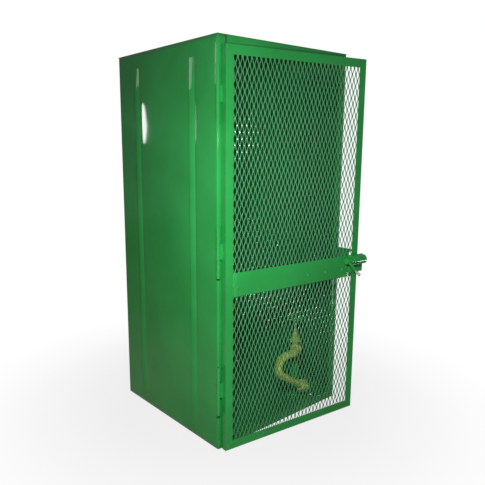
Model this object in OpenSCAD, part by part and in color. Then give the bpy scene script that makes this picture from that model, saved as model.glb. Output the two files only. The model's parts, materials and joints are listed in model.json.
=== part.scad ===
// Standpipe cabinet: a free-standing welded sheet-steel cabinet with a lockable
// expanded-metal door, around a floor riser with an angle hose valve and its outlet bend.
// Millimetres, +Z up. The origin is the middle of the base; the door faces -Y and is
// hinged on the left. The door stands ajar by door_ajar.

/* [Cabinet body] */
// Outside width of the cabinet body
body_w = 774; // [650:1:950]
// Outside depth of the cabinet body
body_d = 722; // [520:1:900]
// Outside height of the cabinet body
body_h = 1676; // [1450:1:1900]
// Thickness of the body's sheet steel
sheet_t = 2; // [1.2:0.1:3]
// Width of the front flanges that the door closes against
flange_w = 45; // [36:1:60]
// Width of the rear flanges that hold the back panel
rear_flange_w = 25; // [15:1:50]
// Depth of the folded returns of the header and the sill
return_d = 25; // [12:1:40]
// Height of the header above the door opening
header_h = 58; // [50:1:80]
// Height of the sill below the door opening
sill_h = 36; // [28:1:50]
// Depth of the roof pan's side flanges
roof_flange_h = 76; // [70:1:110]
// Thickness of the floor pan
floor_t = 3; // [2:0.5:6]
// Height of the floor pan's upturned flanges
floor_flange_h = 40; // [20:1:60]

/* [Side ribs] */
// Distance of each rib's centre line from the nearer panel edge
rib_inset = 158; // [100:1:220]
// Width of a rib at its foot
rib_w = 36; // [24:1:60]
// Width of a rib's flat top
rib_top_w = 26; // [14:1:30]
// Height of a rib above the panel
rib_proud = 5; // [3:0.5:8]
// Distance from the top of the panel to the top of a rib
rib_top_gap = 66; // [40:1:120]
// Distance from the floor to the foot of a rib
rib_foot_gap = 38; // [20:1:120]

/* [Roof bolts] */
// Distance of a roof bolt from the back of the cabinet
roof_bolt_y = 42; // [30:1:90]
// Distance of a roof bolt below the top of the cabinet
roof_bolt_z = 64; // [20:1:64]
// Shank diameter of a roof bolt
roof_bolt_d = 6; // [4:1:8]

/* [Floor fixings] */
// Distance of an anchor hole from the cabinet's outside faces
anchor_inset = 80; // [65:1:95]
// Diameter of an anchor hole
anchor_d = 14; // [9:1:18]

/* [Door] */
// Width of the door over its frame
door_w = 740; // [620:1:920]
// Clearance between the door and the floor
door_floor_gap = 5; // [3:1:15]
// Height of the header that shows above the door
door_top_gap = 41; // [30:1:45]
// Running gap between the closed door and the front flanges
door_gap = 1; // [0.5:0.1:3]
// Angle at which the door stands ajar, in degrees
door_ajar = 7.2; // [0:0.1:30]
// Depth of the door's angle iron
angle_d = 32; // [25:1:40]
// Width of the angle iron that the frame is made of
angle_w = 36; // [28:1:45]
// Thickness of the angle iron
angle_t = 3.2; // [2.5:0.1:5]
// Height of the middle rail's centre line above the floor
mid_rail_z = 718; // [600:1:900]
// Height of the middle rail
mid_rail_h = 100; // [70:1:140]
// Height of the bar that clamps the mesh behind the middle rail
backing_h = 60; // [40:1:66]
// Thickness of that bar
backing_t = 5; // [3:1:8]

/* [Expanded metal] */
// Short way of a diamond, across the door
mesh_sw = 22; // [16:1:60]
// Long way of a diamond, up the door
mesh_lw = 50; // [40:1:130]
// Width of a strand
strand_w = 3; // [2:0.1:4.5]
// Thickness of the stretched sheet over its crossing strands
mesh_t = 3; // [2:0.2:5]
// How far the sheet reaches behind the frame
mesh_lap = 12; // [8:1:20]
// Gap between the two sheets behind the middle rail
mesh_split = 24; // [14:1:30]

/* [Rail bolts] */
// Distance of the rail bolts below the middle rail's centre line
rail_bolt_drop = 12; // [0:1:16]
// Shank diameter of a rail bolt
rail_bolt_d = 8; // [6:1:10]
// Diameter of a rail bolt's domed head
rail_head_d = 17; // [14:1:22]

/* [Hinges] */
// Outside diameter of a hinge knuckle
knuckle_d = 16; // [12:1:20]
// Diameter of a hinge pin
pin_d = 9; // [6:0.5:10]
// Length of one knuckle
knuckle_len = 70; // [40:1:90]
// Running gap between two knuckles
knuckle_gap = 0.4; // [0.2:0.1:0.8]
// How far the hinge line stands outside the cabinet's left side
hinge_out = 5; // [3:0.5:6]
// Distance from the hinge line to the door's edge
hinge_to_door = 18.5; // [16:0.5:24]
// Height of the top hinge's centre
hinge_top_z = 1460; // [1200:1:1700]
// Height of the middle hinge's centre
hinge_mid_z = 855; // [850:1:1000]
// Height of the bottom hinge's centre
hinge_low_z = 268; // [200:1:400]

/* [Latch] */
// Height of the bolt's axis above the middle rail's centre line
latch_rise = 31; // [10:1:34]
// Outside diameter of the bolt's barrel
barrel_d = 42; // [38:0.5:60]
// Diameter of the sliding bolt
bolt_d = 28; // [16:1:32]
// Radial clearance of the bolt in its barrel
bolt_clear = 0.4; // [0.2:0.1:1]
// Length of the barrel
barrel_len = 78; // [60:1:110]
// How far the barrel stands past the door's edge
barrel_over = 12; // [0:1:24]
// Travel of the sliding bolt
bolt_travel = 45; // [40:1:52]
// Distance of the handle from the barrel's end
handle_gap = 22; // [12:1:30]
// Diameter of the handle rod
handle_d = 12.7; // [8:0.1:16]
// Length of the handle rod, from the bolt's axis
handle_len = 88; // [60:1:140]
// Angle of the handle rod below level, in degrees
handle_drop = 36; // [0:1:60]
// Thickness of the base plate and of the keeper
plate_t = 6; // [4:1:8]
// Width of the base plate that lies on the door
plate_lap = 58; // [40:1:100]
// How far the base plate stands past the door's edge
plate_over = 29; // [20:1:30]
// How far the base plate reaches below the bolt's axis
plate_drop = 63; // [40:1:80]
// Length of the keeper up the cabinet's side
keeper_h = 50; // [42:1:80]
// Gap between the base plate's edge and the keeper's arm
keeper_gap = 8; // [4:1:10]
// Radial clearance of the bolt in the keeper
keeper_clear = 1; // [0.5:0.5:3]

/* [Riser] */
// Distance of the riser from the cabinet's right side
riser_from_right = 132; // [110:1:200]
// Distance of the riser from the cabinet's front
riser_from_front = 150; // [140:1:300]
// Outside diameter of the riser pipe
riser_d = 48.3; // [42:0.1:52]
// Wall of the riser pipe
riser_wall = 3.7; // [2.5:0.1:5]
// Height of the riser pipe's upper end
riser_h = 207; // [180:1:260]
// Diameter of the riser's floor flange
riser_flange_d = 100; // [80:1:120]

/* [Hose valve] */
// Height of the valve seat above the riser's end
seat_rise = 30; // [26:1:40]
// Outside diameter of the valve's globe
globe_d = 80; // [72:1:92]
// Diameter of the valve's waterway
bore_d = 32; // [24:1:36]
// Diameter of the valve stem
stem_d = 12; // [8:0.5:14]
// Running clearance round the stem
stem_clear = 0.06; // [0.02:0.02:0.1]
// Length of stem that stands above the packing nut
stem_free = 74; // [50:1:120]
// Diameter of the handwheel
wheel_d = 96; // [70:1:130]
// Lift of the valve disc
disc_lift = 10; // [6:1:12]
// Angle of the outlet in front of the line to the cabinet's left, in degrees
outlet_turn = 45; // [35:1:50]

/* [Outlet bend] */
// Outside diameter of the outlet bend
bend_d = 38; // [32:0.5:40]
// Wall of the outlet bend
bend_wall = 3; // [2:0.5:5]
// Distance of the bend's upright plane in front of the riser
bend_forward = 67; // [64:1:80]
// Centre-line radius of the upright bend
bend_r = 53; // [45:1:70]
// Length of level pipe before the upright bend
bend_run = 44; // [10:1:80]
// Angle by which the lower leg slopes down, in degrees
leg_slope = 32; // [20:1:50]
// Length of the lower leg
leg_len = 172; // [120:1:190]
// Diameter of the hose coupling
coupling_d = 58; // [52:1:62]
// Length of the hose coupling
coupling_len = 42; // [36:1:60]
// Bore of the hose coupling's threaded mouth
hose_thread_d = 50; // [48:0.5:51]

/* [Hidden] */
$fn = 48;

green = [0.10, 0.50, 0.25];
brass = [0.78, 0.62, 0.25];
steel = [0.62, 0.63, 0.62];
black = [0.08, 0.08, 0.08];

// Outside faces of the body
left_x = -body_w / 2;
right_x = body_w / 2;
front_y = -body_d / 2;
back_y = body_d / 2;
wall_h = body_h - sheet_t;

// Door frame, in the door's own frame: the hinge line is its origin at floor level
knuckle_r = knuckle_d / 2;
hinge_x = left_x - hinge_out;
hinge_y = front_y - knuckle_r;
door_h = body_h - door_floor_gap - door_top_gap;
door_l = hinge_to_door;
door_r = door_l + door_w;
door_back = knuckle_r - door_gap;
door_face = door_back - angle_d;
face_back = door_face + angle_t;
mesh_back = face_back + mesh_t;
backing_back = mesh_back + backing_t;
hinge_zs = [hinge_top_z, hinge_mid_z, hinge_low_z];

// Expanded metal sheets
mesh_w = door_w - 2 * angle_w + 2 * mesh_lap;
mesh_x = door_l + angle_w - mesh_lap;
rail_bolt_z = mid_rail_z - rail_bolt_drop;
upper_z = rail_bolt_z + mesh_split / 2;
upper_h = door_floor_gap + door_h - angle_w + mesh_lap - upper_z;
lower_z = door_floor_gap + angle_w - mesh_lap;
lower_h = rail_bolt_z - mesh_split / 2 - lower_z;

// Rail bolts stand clear of the stiles and of the latch
rail_l = door_l + angle_w;
rail_len = door_w - 2 * angle_w;
rail_bolt_xs = [for (share = [0.036, 0.6, 0.76, 0.915]) rail_l + share * rail_len];
head_h = 4;
nut_clear = 0.25;

// Latch, in the door's frame
latch_z = mid_rail_z + latch_rise;
latch_y = door_face - plate_t - barrel_d / 2;
barrel_r_x = door_r + barrel_over;
barrel_l_x = barrel_r_x - barrel_len;
handle_x = barrel_l_x - handle_gap;
bolt_tail = 11;
bolt_l_x = handle_x - bolt_tail;
bolt_recess = 2;
bolt_r_x = barrel_r_x - bolt_recess;
plate_r_x = door_r + plate_over;
plate_l_x = door_r - plate_lap;
handle_bore = 8;

// Keeper on the right side of the body: clear of the base plate, and outside the panel
keeper_in_x = max(hinge_x + plate_r_x + keeper_gap, right_x);
keeper_y = hinge_y + latch_y;
keeper_reach = 25;
keeper_foot = 46;

// Riser and valve
riser_x = right_x - riser_from_right;
riser_y = front_y + riser_from_front;
thread_clear = 0.15;
socket_depth = 22;
seat_z = riser_h + seat_rise;
globe_z = seat_z + 8;
chamber_d = 48;
body_top_z = globe_z + globe_d / 2;
outlet_rise = 24;
outlet_z = seat_z + outlet_rise;
outlet_len = 50;
stub_d = bore_d + 10;
bonnet_flange_h = 7;
bonnet_neck_h = 18;
packing_z = body_top_z + bonnet_flange_h + bonnet_neck_h;
packing_h = 17;
packing_skirt = 5;
stem_seat = 12;
stem_base_z = seat_z + stem_seat;
wheel_z = packing_z + packing_h + stem_free;
hub_h = 14;
wheel_nut_h = 6;
stem_end = 2;
stem_top_z = wheel_z + hub_h + wheel_nut_h + stem_end;
washer_h = 4;
disc_d = 42;

// Outlet bend: an eighth of a turn in plan, then the upright bend and the lower leg
plan_r = 60;
plan_tangent = plan_r * tan(outlet_turn / 2);
corner_len = bend_forward / sin(outlet_turn);
first_run = corner_len - plan_tangent - outlet_len;
bend_y = riser_y - bend_forward;
bend_start_x = riser_x - corner_len * cos(outlet_turn) - plan_tangent - bend_run;
collar_h = 4;
collar_d = stub_d;
bead_h = 5;
bead_d = bend_d + 8;
bead_back = 6;
gasket_h = 3;
end_play = 0.1;
coupling_back = bead_back + bead_h;
gasket_seat = coupling_back + end_play;

module tube(outer, inner, h) {
    difference() {
        cylinder(d = outer, h = h);
        translate([0, 0, -1]) cylinder(d = inner, h = h + 2);
    }
}

module hexagon(across, h) {
    cylinder(d = across / cos(30), h = h, $fn = 6);
}

module on_door() {
    translate([hinge_x, hinge_y, 0]) rotate([0, 0, -door_ajar]) children();
}

// ---- Body ----

// Plan of the left side: the side sheet with its front and rear flanges
module side_plan() {
    polygon([
        [0, 0], [flange_w, 0], [flange_w, sheet_t], [sheet_t, sheet_t],
        [sheet_t, body_d - sheet_t], [rear_flange_w, body_d - sheet_t],
        [rear_flange_w, body_d], [0, body_d]
    ]);
}

// One pressed rib, standing out in -X from the plane x = 0
module rib(foot_w, top_w, proud, z0, z1) {
    translate([0, 0, z0]) linear_extrude(z1 - z0)
        polygon([
            [0.5, -foot_w / 2], [0, -foot_w / 2], [-proud, -top_w / 2],
            [-proud, top_w / 2], [0, foot_w / 2], [0.5, foot_w / 2]
        ]);
}

module side_panel() {
    rib_z0 = rib_foot_gap;
    rib_z1 = body_h - rib_top_gap;
    difference() {
        union() {
            linear_extrude(wall_h) side_plan();
            for (y = [rib_inset, body_d - rib_inset])
                translate([0, y, 0]) rib(rib_w, rib_top_w, rib_proud, rib_z0, rib_z1);
        }
        for (y = [rib_inset, body_d - rib_inset])
            translate([sheet_t + 0.01, y, 0])
                rib(rib_w - sheet_t, rib_top_w - sheet_t, rib_proud,
                    rib_z0 + sheet_t, rib_z1 - sheet_t);
        translate([-1, body_d - roof_bolt_y, body_h - roof_bolt_z])
            rotate([0, 90, 0]) cylinder(d = roof_bolt_d + 2 * nut_clear, h = sheet_t + 2);
    }
}

module left_panel() {
    color(green) translate([left_x, front_y, 0]) side_panel();
}

module right_panel() {
    color(green) translate([right_x, front_y, 0]) mirror([1, 0, 0]) side_panel();
}

module back_panel() {
    color(green)
        translate([left_x + sheet_t, back_y - 2 * sheet_t, 0])
            cube([body_w - 2 * sheet_t, sheet_t, wall_h]);
}

module roof_pan() {
    in_w = body_w - 2 * sheet_t;
    in_d = body_d - 2 * sheet_t;
    flange_y = front_y + 20;
    flange_len = back_y - 2 * sheet_t - flange_y;
    color(green) difference() {
        union() {
            translate([left_x, front_y, wall_h]) cube([body_w, body_d, sheet_t]);
            for (x = [left_x + sheet_t, right_x - 2 * sheet_t])
                translate([x, flange_y, body_h - roof_flange_h])
                    cube([sheet_t, flange_len, roof_flange_h - sheet_t / 2]);
            translate([left_x + sheet_t, back_y - 3 * sheet_t, body_h - return_d])
                cube([in_w, sheet_t, return_d - sheet_t / 2]);
        }
        translate([left_x - 1, back_y - roof_bolt_y, body_h - roof_bolt_z])
            rotate([0, 90, 0])
                cylinder(d = roof_bolt_d + 2 * nut_clear, h = body_w + 2);
    }
}

module floor_pan() {
    in_w = body_w - 2 * sheet_t;
    pan_d = body_d - 3 * sheet_t;
    color(green) difference() {
        union() {
            translate([left_x + sheet_t, front_y + sheet_t, 0]) cube([in_w, pan_d, floor_t]);
            for (x = [left_x + sheet_t, right_x - 2 * sheet_t])
                translate([x, front_y + sheet_t, 0]) cube([sheet_t, pan_d, floor_flange_h]);
            translate([left_x + sheet_t, back_y - 3 * sheet_t, 0])
                cube([in_w, sheet_t, floor_flange_h]);
        }
        translate([riser_x, riser_y, -1]) cylinder(d = riser_d + 0.8, h = floor_t + 2);
        for (x = [left_x + anchor_inset, right_x - anchor_inset],
             y = [front_y + anchor_inset, back_y - anchor_inset])
            translate([x, y, -1]) cylinder(d = anchor_d, h = floor_t + 2);
    }
}

// A folded rail between the two front flanges: its face, and one level return
module front_rail(h, return_z) {
    translate([left_x + flange_w, front_y, 0]) {
        cube([body_w - 2 * flange_w, sheet_t, h]);
        translate([0, 0, return_z]) cube([body_w - 2 * flange_w, return_d, sheet_t]);
    }
}

module front_header() {
    color(green) translate([0, 0, wall_h - header_h]) front_rail(header_h, 0);
}

module front_sill() {
    color(green) front_rail(sill_h, sill_h - sheet_t);
}

// Both roof bolts, with their heads outside; grip is the two sheets
module roof_bolts() {
    grip = 2 * sheet_t;
    color(green)
        for (side = [0, 1]) mirror([side, 0, 0])
            translate([left_x, back_y - roof_bolt_y, body_h - roof_bolt_z])
                rotate([0, 90, 0]) {
                    translate([0, 0, -3]) cylinder(d = 2 * roof_bolt_d, h = 3);
                    cylinder(d = roof_bolt_d, h = grip + 9);
                }
}

module roof_nuts() {
    color(steel)
        for (side = [0, 1]) mirror([side, 0, 0])
            translate([left_x + 2 * sheet_t, back_y - roof_bolt_y, body_h - roof_bolt_z])
                rotate([0, 90, 0]) difference() {
                    hexagon(roof_bolt_d * 1.7, 5);
                    translate([0, 0, -1]) cylinder(d = roof_bolt_d + 0.1, h = 7);
                }
}

// ---- Hinges ----

module hinge_body_knuckles() {
    color(green)
        for (z = hinge_zs, side = [-1, 1])
            translate([hinge_x, hinge_y, z + side * (knuckle_len + knuckle_gap) - knuckle_len / 2])
                difference() {
                    union() {
                        cylinder(r = knuckle_r, h = knuckle_len);
                        translate([0, 0, 4]) cube([hinge_out + 8, knuckle_r, knuckle_len - 8]);
                    }
                    translate([0, 0, -1]) cylinder(d = pin_d, h = knuckle_len + 2);
                }
}

module hinge_pins() {
    pin_len = 3 * knuckle_len + 2 * knuckle_gap;
    color(steel)
        for (z = hinge_zs)
            translate([hinge_x, hinge_y, z - pin_len / 2]) cylinder(d = pin_d, h = pin_len);
}

module hinge_door_knuckles() {
    tab_t = 6;
    color(green) on_door()
        for (z = hinge_zs)
            translate([0, 0, z - knuckle_len / 2]) difference() {
                union() {
                    cylinder(r = knuckle_r, h = knuckle_len);
                    translate([0, -tab_t / 2, 5]) cube([door_l, tab_t, knuckle_len - 10]);
                }
                translate([0, 0, -1]) cylinder(d = pin_d + 0.1, h = knuckle_len + 2);
            }
}

// ---- Door frame ----

// A strip that is mitred at both ends
function mitred(len, h) = [[0, 0], [len, 0], [len - h, h], [h, h]];

// Angle iron along +X with its outer edge on z = 0 and its face on y = 0
module angle_iron(len) {
    rotate([90, 0, 0]) {
        translate([0, 0, -angle_t]) linear_extrude(angle_t) polygon(mitred(len, angle_w));
        translate([0, 0, -angle_d]) linear_extrude(angle_d) polygon(mitred(len, angle_t));
    }
}

module hinge_stile() {
    color(green) on_door()
        translate([door_l, door_face, door_floor_gap])
            mirror([1, 0, -1]) angle_iron(door_h);
}

module latch_stile() {
    color(green) on_door()
        translate([door_r, door_face, door_floor_gap])
            mirror([1, 0, 0]) mirror([1, 0, -1]) angle_iron(door_h);
}

module top_rail() {
    color(green) on_door()
        translate([door_l, door_face, door_floor_gap + door_h])
            mirror([0, 0, 1]) angle_iron(door_w);
}

module bottom_rail() {
    color(green) on_door()
        translate([door_l, door_face, door_floor_gap])
            angle_iron(door_w);
}

module rail_holes(y0, y1) {
    for (x = rail_bolt_xs)
        translate([x, y0 - 1, rail_bolt_z]) rotate([-90, 0, 0])
            cylinder(d = rail_bolt_d + 2 * nut_clear, h = y1 - y0 + 2);
}

module middle_rail() {
    color(green) on_door() difference() {
        translate([rail_l, door_face, mid_rail_z - mid_rail_h / 2])
            cube([rail_len, angle_t, mid_rail_h]);
        rail_holes(door_face, face_back);
    }
}

module mesh_backing_bar() {
    bar_l = door_l + angle_t;
    bar_len = door_w - 2 * angle_t;
    color(green) on_door() difference() {
        translate([bar_l, mesh_back, rail_bolt_z - backing_h / 2])
            cube([bar_len, backing_t, backing_h]);
        rail_holes(mesh_back, backing_back);
    }
}

// One layer of parallel strands, cut to a w by h panel; lean is 1 or -1
module strands(w, h, lean) {
    slope = atan2(mesh_lw, mesh_sw);
    reach = h / sin(slope) + mesh_lw;
    first = -ceil(h / mesh_lw);
    last = ceil(w / mesh_sw);
    intersection() {
        square([w, h]);
        for (i = [first : last])
            translate([lean > 0 ? i * mesh_sw : w - i * mesh_sw, 0])
                rotate(lean > 0 ? slope : 180 - slope)
                    translate([-mesh_lw, -strand_w / 2]) square([reach + mesh_lw, strand_w]);
    }
}

// An expanded sheet in the XZ plane: its two runs of strands, one layer behind the other
module expanded_sheet(w, h) {
    rotate([90, 0, 0]) {
        translate([0, 0, -mesh_t / 2]) linear_extrude(mesh_t / 2) strands(w, h, 1);
        translate([0, 0, -mesh_t]) linear_extrude(mesh_t / 2) strands(w, h, -1);
    }
}

module upper_mesh() {
    color(green) on_door()
        translate([mesh_x, face_back, upper_z]) expanded_sheet(mesh_w, upper_h);
}

module lower_mesh() {
    color(green) on_door()
        translate([mesh_x, face_back, lower_z]) expanded_sheet(mesh_w, lower_h);
}

// Domed head in front of the rail, shank through rail and bar
module rail_bolts() {
    shank = backing_back - door_face + 10;
    dome_r = (rail_head_d * rail_head_d / 4 + head_h * head_h) / (2 * head_h);
    color(green) on_door()
        for (x = rail_bolt_xs)
            translate([x, door_face, rail_bolt_z]) rotate([-90, 0, 0]) {
                intersection() {
                    translate([0, 0, dome_r - head_h]) sphere(r = dome_r);
                    translate([0, 0, -head_h]) cylinder(d = 2 * rail_head_d, h = head_h);
                }
                cylinder(d = rail_bolt_d, h = shank);
            }
}

module rail_nuts() {
    color(steel) on_door()
        for (x = rail_bolt_xs)
            translate([x, backing_back, rail_bolt_z]) rotate([-90, 0, 0]) difference() {
                hexagon(rail_bolt_d * 1.625, 6.5);
                translate([0, 0, -1]) cylinder(d = rail_bolt_d + 0.1, h = 9);
            }
}

// ---- Latch ----

module latch_base_plate() {
    plate_top = mid_rail_z + mid_rail_h / 2;
    plate_foot = latch_z - plate_drop;
    color(green) on_door()
        translate([plate_l_x, door_face - plate_t, plate_foot])
            cube([plate_r_x - plate_l_x, plate_t, plate_top - plate_foot]);
}

// Turns +Z towards the handle: forwards, and down by handle_drop
module along_handle(x) {
    translate([x, latch_y, latch_z]) rotate([90 + handle_drop, 0, 0]) children();
}

module bolt_barrel() {
    bore = bolt_d + 2 * bolt_clear;
    slot_w = handle_d + 2;
    slot_end = handle_x + bolt_travel + slot_w / 2;
    foot_w = barrel_d * 0.6;
    color(green) on_door() difference() {
        union() {
            translate([barrel_l_x, latch_y, latch_z])
                rotate([0, 90, 0]) cylinder(d = barrel_d, h = barrel_len);
            translate([barrel_l_x, latch_y, latch_z - foot_w / 2])
                cube([barrel_len, barrel_d / 2, foot_w]);
        }
        translate([barrel_l_x - 1, latch_y, latch_z])
            rotate([0, 90, 0]) cylinder(d = bore, h = barrel_len + 2);
        along_handle(0)
            translate([barrel_l_x - 1, -slot_w / 2, 0])
                cube([slot_end - barrel_l_x + 1, slot_w, barrel_d]);
    }
}

module sliding_bolt() {
    color(green) on_door() difference() {
        translate([bolt_l_x, latch_y, latch_z])
            rotate([0, 90, 0]) cylinder(d = bolt_d, h = bolt_r_x - bolt_l_x);
        along_handle(handle_x)
            translate([0, 0, bolt_d / 2 - handle_bore])
                cylinder(d = handle_d + 0.2, h = bolt_d);
    }
}

module bolt_handle() {
    root = bolt_d / 2 - handle_bore;
    color(green) on_door()
        along_handle(handle_x)
            translate([0, 0, root]) cylinder(d = handle_d, h = handle_len - root);
}

// Foot on the cabinet's side, a joggle out past the base plate, and the bored arm
module bolt_keeper() {
    arm_front = keeper_y - keeper_reach;
    joggle_y = front_y + 14;
    arm_out = keeper_in_x + plate_t;
    color(green)
        difference() {
            translate([0, 0, latch_z - keeper_h / 2]) linear_extrude(keeper_h) {
                translate([right_x, joggle_y]) square([plate_t, keeper_foot]);
                translate([right_x, joggle_y]) square([arm_out - right_x, plate_t]);
                translate([keeper_in_x, arm_front])
                    square([plate_t, joggle_y + plate_t - arm_front]);
            }
            translate([keeper_in_x - 1, keeper_y, latch_z]) rotate([0, 90, 0])
                cylinder(d = bolt_d + 2 * keeper_clear, h = plate_t + 2);
        }
}

// ---- Riser and valve ----

module at_riser(z) {
    translate([riser_x, riser_y, z]) children();
}

// Turns +Z along the valve's outlet
module along_outlet(z, from) {
    at_riser(z) rotate([0, 0, 180 + outlet_turn]) rotate([0, 90, 0])
        translate([0, 0, from]) children();
}

module riser_flange() {
    color(green) at_riser(floor_t) tube(riser_flange_d, riser_d + 0.4, 6);
}

module riser_pipe() {
    color(green) at_riser(0) tube(riser_d, riser_d - 2 * riser_wall, riser_h);
}

module valve_body() {
    socket_d = riser_d + 16;
    color(brass) difference() {
        union() {
            at_riser(riser_h - socket_depth) hexagon(socket_d, socket_depth + 4);
            at_riser(riser_h) cylinder(d = socket_d - 6, h = seat_rise);
            at_riser(globe_z) sphere(d = globe_d);
            at_riser(globe_z) cylinder(d = chamber_d + 12, h = body_top_z - globe_z);
            along_outlet(outlet_z, 0) cylinder(d = stub_d, h = outlet_len);
        }
        at_riser(riser_h - socket_depth - 1)
            cylinder(d = riser_d + 2 * thread_clear, h = socket_depth + 1);
        at_riser(riser_h - 1) cylinder(d = bore_d, h = seat_rise + 2);
        at_riser(seat_z) cylinder(d = chamber_d, h = body_top_z - seat_z + 1);
        along_outlet(outlet_z, 0) cylinder(d = bore_d - 4, h = outlet_len + 1);
    }
}

module valve_bonnet() {
    color(brass) difference() {
        union() {
            at_riser(body_top_z) hexagon(chamber_d + 6, bonnet_flange_h);
            at_riser(body_top_z) cylinder(d = stem_d + 20, h = packing_z - body_top_z);
        }
        at_riser(body_top_z - 1)
            cylinder(d = stem_d + 2 * stem_clear, h = packing_z - body_top_z + 2);
    }
}

module packing_nut() {
    color(brass) difference() {
        union() {
            at_riser(packing_z) hexagon(stem_d + 18, packing_h - packing_skirt);
            at_riser(packing_z) cylinder(d = stem_d + 10, h = packing_h);
        }
        at_riser(packing_z - 1) cylinder(d = stem_d + 2 * stem_clear, h = packing_h + 2);
    }
}

module valve_stem() {
    color(brass) at_riser(stem_base_z) cylinder(d = stem_d, h = stem_top_z - stem_base_z);
}

module handwheel() {
    rim_d = 11;
    spoke_w = 8;
    ring_r = (wheel_d - rim_d) / 2;
    color(green) at_riser(wheel_z) difference() {
        union() {
            translate([0, 0, hub_h / 2]) rotate_extrude()
                translate([ring_r, 0]) circle(d = rim_d);
            cylinder(d = stem_d + 14, h = hub_h);
            for (i = [0 : 3])
                rotate(i * 90 + 20) translate([0, -spoke_w / 2, hub_h / 2 - 3])
                    cube([ring_r, spoke_w, 6]);
        }
        translate([0, 0, -1]) cylinder(d = stem_d + 0.1, h = hub_h + 2);
    }
}

module handwheel_nut() {
    color(steel) at_riser(wheel_z + hub_h) difference() {
        hexagon(stem_d + 7, wheel_nut_h);
        translate([0, 0, -1]) cylinder(d = stem_d + 0.1, h = wheel_nut_h + 2);
    }
}

module valve_disc() {
    disc_h = 10;
    hub_top = 20;
    color(brass) difference() {
        union() {
            at_riser(seat_z + washer_h) cylinder(d = disc_d, h = disc_h);
            at_riser(seat_z + washer_h) cylinder(d = stem_d + 10, h = hub_top);
        }
        at_riser(stem_base_z - 0.2) cylinder(d = stem_d + 0.12, h = hub_top);
    }
}

module disc_washer() {
    color(black) at_riser(seat_z) cylinder(d = disc_d - 1, h = washer_h);
}

// Hexagon nut that runs on the outlet stub and pulls the bend's collar against it
module union_nut() {
    grip = outlet_len - globe_d / 2 - 1;
    lip = 7;
    nut_len = grip + collar_h + nut_clear + lip;
    color(brass) along_outlet(outlet_z, outlet_len - grip) difference() {
        hexagon(stub_d + 12, nut_len);
        translate([0, 0, -1]) cylinder(d = stub_d + 2 * nut_clear, h = nut_len - lip + 1);
        translate([0, 0, -1]) cylinder(d = bend_d + 2 * nut_clear, h = nut_len + 2);
    }
}

// A bend of the outlet pipe round +Z, from +X onwards
module pipe_bend(radius, angle) {
    rotate_extrude(angle = angle, $fn = 96) translate([radius, 0]) difference() {
        circle(d = bend_d);
        circle(d = bend_d - 2 * bend_wall);
    }
}

module pipe_run(len) {
    tube(bend_d, bend_d - 2 * bend_wall, len);
}

// Places children at the lower end of the outlet bend with +Z along the leg
module at_leg(from) {
    sweep = 180 - leg_slope;
    translate([bend_start_x, bend_y, outlet_z - bend_r])
        rotate([0, -sweep, 0]) translate([0, 0, bend_r])
            rotate([0, -90, 0]) translate([0, 0, from]) children();
}

// Raised brazed ring over the joint between two stretches of the pipe
module brazed_ring() {
    translate([0, 0, -3]) tube(bend_d + 1.6, bend_d - bend_wall, 6);
}

module outlet_bend() {
    color(brass) {
        along_outlet(outlet_z, outlet_len) pipe_run(first_run);
        along_outlet(outlet_z, outlet_len)
            tube(collar_d, bend_d - 2 * bend_wall, collar_h);
        along_outlet(outlet_z, outlet_len + first_run) translate([0, -plan_r, 0])
            rotate([90, 0, 90]) pipe_bend(plan_r, outlet_turn);
        translate([bend_start_x + bend_run, bend_y, outlet_z]) rotate([0, -90, 0]) {
            brazed_ring();
            pipe_run(bend_run);
        }
        translate([bend_start_x, bend_y, outlet_z - bend_r])
            rotate([90, 0, 0]) rotate([0, 0, 90]) pipe_bend(bend_r, 180 - leg_slope);
        at_leg(0) brazed_ring();
        at_leg(0) pipe_run(leg_len);
        at_leg(leg_len - bead_h) tube(bead_d, bend_d - 2 * bend_wall, bead_h);
    }
}

// Swivel coupling: it turns on the leg behind the bead and carries the hose thread
module hose_coupling() {
    color(brass) at_leg(leg_len - coupling_back) difference() {
        union() {
            cylinder(d = coupling_d, h = coupling_len);
            for (i = [0 : 1])
                rotate(i * 180) translate([coupling_d / 2 - 2, -5, 12]) cube([7, 10, 14]);
        }
        translate([0, 0, -1]) cylinder(d = bend_d + 0.1, h = coupling_len);
        translate([0, 0, bead_back - end_play])
            cylinder(d = bead_d + 0.6, h = coupling_len);
        translate([0, 0, gasket_seat + gasket_h])
            cylinder(d = hose_thread_d, h = coupling_len);
    }
}

module coupling_gasket() {
    color(black) at_leg(leg_len + end_play) tube(bead_d, bend_d - 2 * bend_wall, gasket_h);
}

left_panel();
right_panel();
back_panel();
roof_pan();
floor_pan();
front_header();
front_sill();
roof_bolts();
roof_nuts();
hinge_body_knuckles();
hinge_pins();
bolt_keeper();
hinge_stile();
latch_stile();
top_rail();
bottom_rail();
middle_rail();
mesh_backing_bar();
upper_mesh();
lower_mesh();
rail_bolts();
rail_nuts();
hinge_door_knuckles();
latch_base_plate();
bolt_barrel();
sliding_bolt();
bolt_handle();
riser_flange();
riser_pipe();
valve_body();
valve_bonnet();
packing_nut();
valve_stem();
handwheel();
handwheel_nut();
valve_disc();
disc_washer();
union_nut();
outlet_bend();
hose_coupling();
coupling_gasket();
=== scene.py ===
"""The looks of a standpipe cabinet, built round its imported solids. Metres, +Z up."""

import json
import math
import random

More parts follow.
